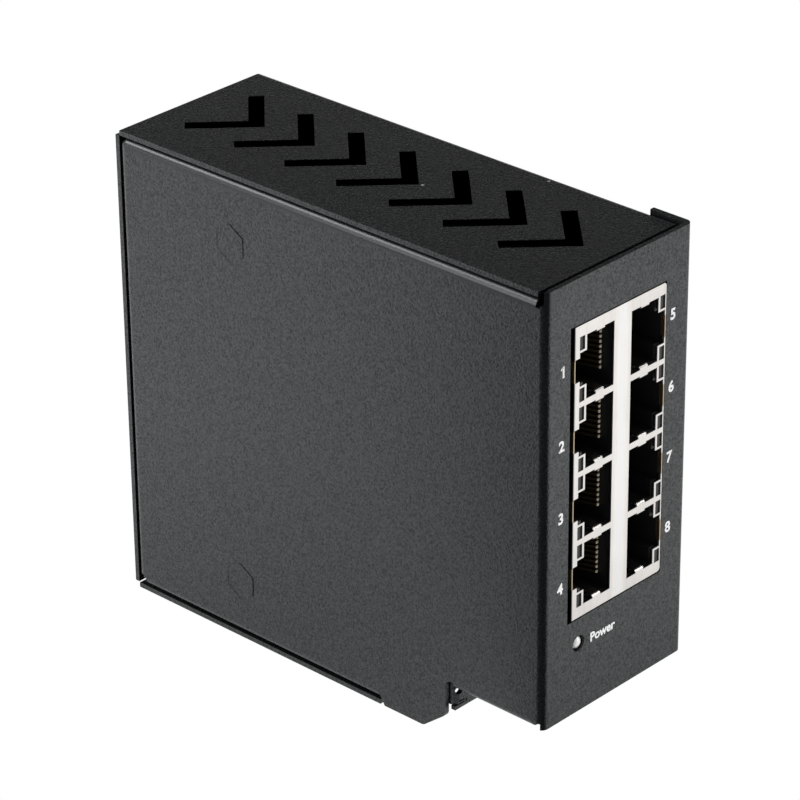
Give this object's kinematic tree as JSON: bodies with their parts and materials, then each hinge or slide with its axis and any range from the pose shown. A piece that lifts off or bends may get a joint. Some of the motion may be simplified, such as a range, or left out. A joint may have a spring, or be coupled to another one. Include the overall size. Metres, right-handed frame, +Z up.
{
  "type": "din rail ethernet switch",
  "caption": "Black folded-steel network switch with a two-column block of modular jacks in its front, V-shaped top vents, a stepped underside and a sprung rail clip behind.",
  "frame": {"origin": "middle of the rail seat: centre line of a 35 mm rail, on the clip face that the rail lips lie on", "axes": "+Z up, -Y out of the front panel, +X to the right seen from the front"},
  "size_m": [0.0418, 0.1147, 0.1],
  "materials": {
    "powder_coat": "fine-textured black powder coat on folded steel",
    "plated_steel": "bright zinc plate",
    "black_screw": "black oxide",
    "jack_plate": "satin nickel plate on thin sheet",
    "black_plastic": "moulded, satin",
    "board_green": "solder mask over laminate",
    "light_lens": "diffused lens, unlit",
    "indicator_lens": "tinted light guide, unlit",
    "inlet_green": "moulded, satin",
    "tinned_pin": "tinned",
    "chip_epoxy": "moulded epoxy",
    "ferrite": "sintered",
    "fuse_ceramic": "glazed ceramic",
    "latch_plastic": "moulded, satin",
    "spring_steel": "oiled spring wire",
    "can_aluminium": "sleeveless can",
    "gold_contact": "gold flash"
  },
  "bodies": {
    "case": {"front_cover": "powder_coat", "rear_tray": "powder_coat", "board_standoffs": "plated_steel", "circuit_board": "board_green", "board_screws": "plated_steel", "case_screws": "black_screw", "press_nuts": "plated_steel", "jack_shield": "jack_plate", "jack_housing": "black_plastic", "power_light": "light_lens", "power_light_holder": "black_plastic", "power_inlet": "inlet_green", "power_inlet_pins": "tinned_pin", "switch_chip": "chip_epoxy", "switch_chip_leads": "tinned_pin", "power_inductor": "ferrite", "clock_crystal": "plated_steel", "voltage_regulator": "chip_epoxy", "input_fuse": "fuse_ceramic", "rail_bracket": "plated_steel", "latch_spring": "spring_steel", "clip_screws": "plated_steel", "magnetics_1": "chip_epoxy", "magnetics_2": "chip_epoxy", "magnetics_3": "chip_epoxy", "magnetics_4": "chip_epoxy", "capacitor_1": "can_aluminium", "capacitor_2": "can_aluminium", "port_contacts_1": "gold_contact", "port_lights_1": "indicator_lens", "port_contacts_2": "gold_contact", "port_lights_2": "indicator_lens", "port_contacts_3": "gold_contact", "port_lights_3": "indicator_lens", "port_contacts_4": "gold_contact", "port_lights_4": "indicator_lens", "port_contacts_5": "gold_contact", "port_lights_5": "indicator_lens", "port_contacts_6": "gold_contact", "port_lights_6": "indicator_lens", "port_contacts_7": "gold_contact", "port_lights_7": "indicator_lens", "port_contacts_8": "gold_contact", "port_lights_8": "indicator_lens"},
    "latch": {"rail_latch": "latch_plastic"}
  },
  "joints": [
    {"name": "latch_slide", "type": "slide", "parent": "case", "child": "latch", "axis": [0, 0, -1], "range_m": [0, 0.004], "stiffness_N_per_m": 900, "springref_m": -0.004, "deforming": ["latch_spring"]}
  ]
}
